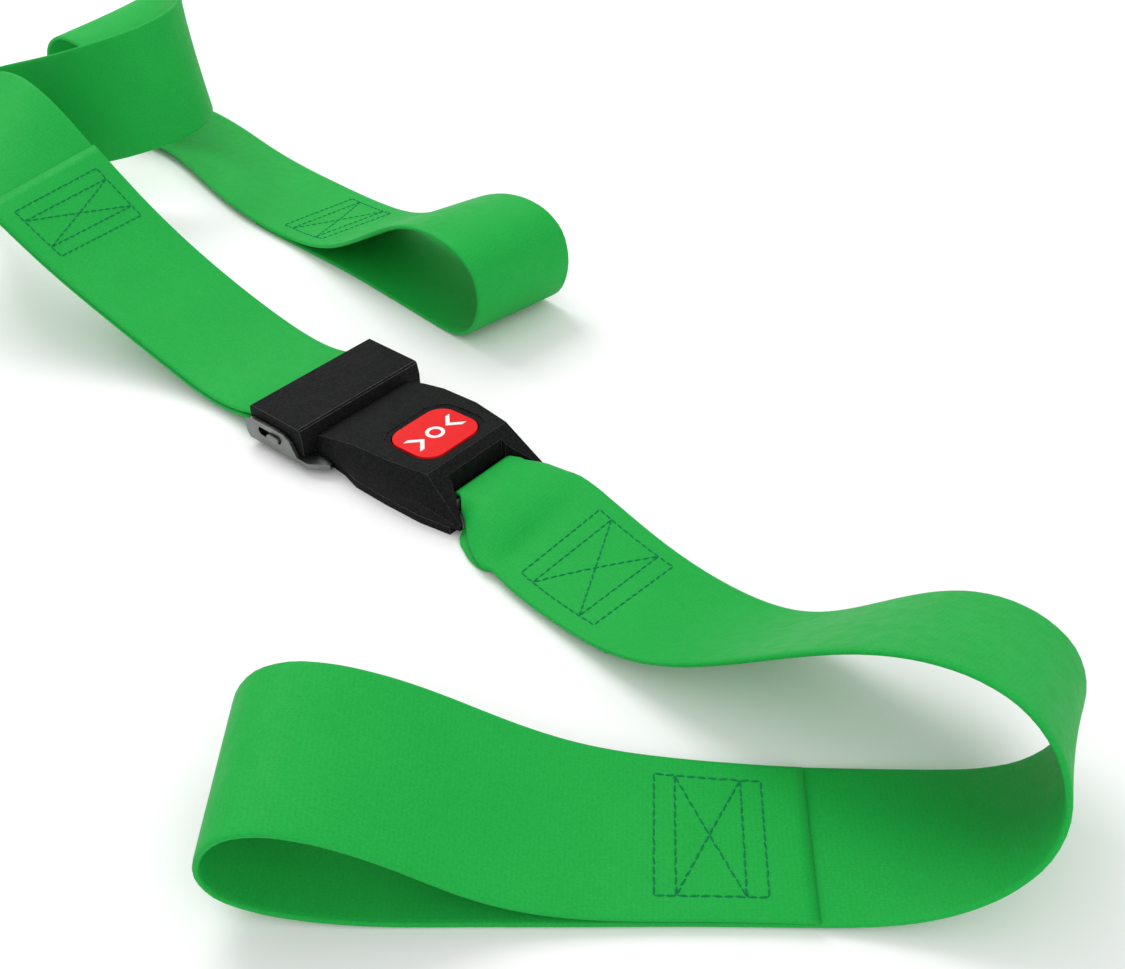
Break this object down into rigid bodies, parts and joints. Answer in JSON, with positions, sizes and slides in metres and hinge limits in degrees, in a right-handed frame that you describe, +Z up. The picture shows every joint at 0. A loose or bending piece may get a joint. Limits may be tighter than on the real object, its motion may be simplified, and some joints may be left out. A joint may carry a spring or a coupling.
{
  "type": "restraint strap with push-button buckle",
  "caption": "Two lengths of coated webbing with sewn loop ends, joined by a metal push-button buckle with a slide-bar adjustable tongue.",
  "frame": {"origin": "bottom centre of the closed buckle, on the ground", "axes": "+X along the buckle from the tongue to the receiver, +Y across the webbing, +Z up out of the push button"},
  "size_m": [0.6136, 0.3163, 0.0829],
  "materials": {
    "cover_plastic": "fine-grained black moulding with lightly worn edges",
    "button_plastic": "glossy red",
    "mark_white": "white inlay",
    "ejector_plastic": "natural acetal",
    "plated_steel": "bright zinc-nickel plate with fine scratches",
    "frame_steel": "pressed steel, zinc plated",
    "spring_steel": "bare spring wire and strip",
    "screw_steel": "blackened self-tapping screws",
    "webbing_green": "green coated polyester webbing, satin, fine grain",
    "thread_green": "dark teal-green bonded thread"
  },
  "bodies": {
    "receiver": {"receiver_top_cover": "cover_plastic", "receiver_bottom_cover": "cover_plastic", "receiver_frame": "frame_steel", "webbing_bar": "frame_steel", "cover_screws": "screw_steel", "latch_leaf": "spring_steel", "latch_rivets": "frame_steel", "button_springs": "spring_steel", "ejector_springs": "spring_steel", "strap_b_webbing": "webbing_green", "strap_b_bar_stitching": "thread_green", "strap_b_loop_stitching": "thread_green"},
    "button": {"push_button": "button_plastic", "button_mark": "mark_white"},
    "ejector": {"ejector": "ejector_plastic"},
    "tongue": {"tongue_plate": "plated_steel", "strap_a_webbing": "webbing_green", "strap_a_tail_stitching": "thread_green", "strap_a_loop_stitching": "thread_green"},
    "slide_bar": {"slide_bar": "plated_steel", "slide_bar_cover": "cover_plastic", "cover_pins": "plated_steel"}
  },
  "joints": [
    {"name": "button_press", "type": "slide", "parent": "receiver", "child": "button", "axis": [0, 0, -1], "range_m": [0, 0.003], "stiffness_N_per_m": 800, "springref_m": -0.002, "deforming": ["button_springs", "latch_leaf"]},
    {"name": "tongue_slide", "type": "slide", "parent": "receiver", "child": "tongue", "axis": [-1, 0, 0], "range_m": [0, 0.05]},
    {"name": "ejector_slide", "type": "slide", "parent": "receiver", "child": "ejector", "axis": [-1, 0, 0], "range_m": [0, 0.0045], "deforming": ["ejector_springs"]},
    {"name": "bar_slide", "type": "slide", "parent": "tongue", "child": "slide_bar", "axis": [-1, 0, 0], "range_m": [0, 0.005]}
  ],
  "couplings": [
    {"joint": "ejector_slide", "follows": "tongue_slide", "ratio": 0.09}
  ]
}
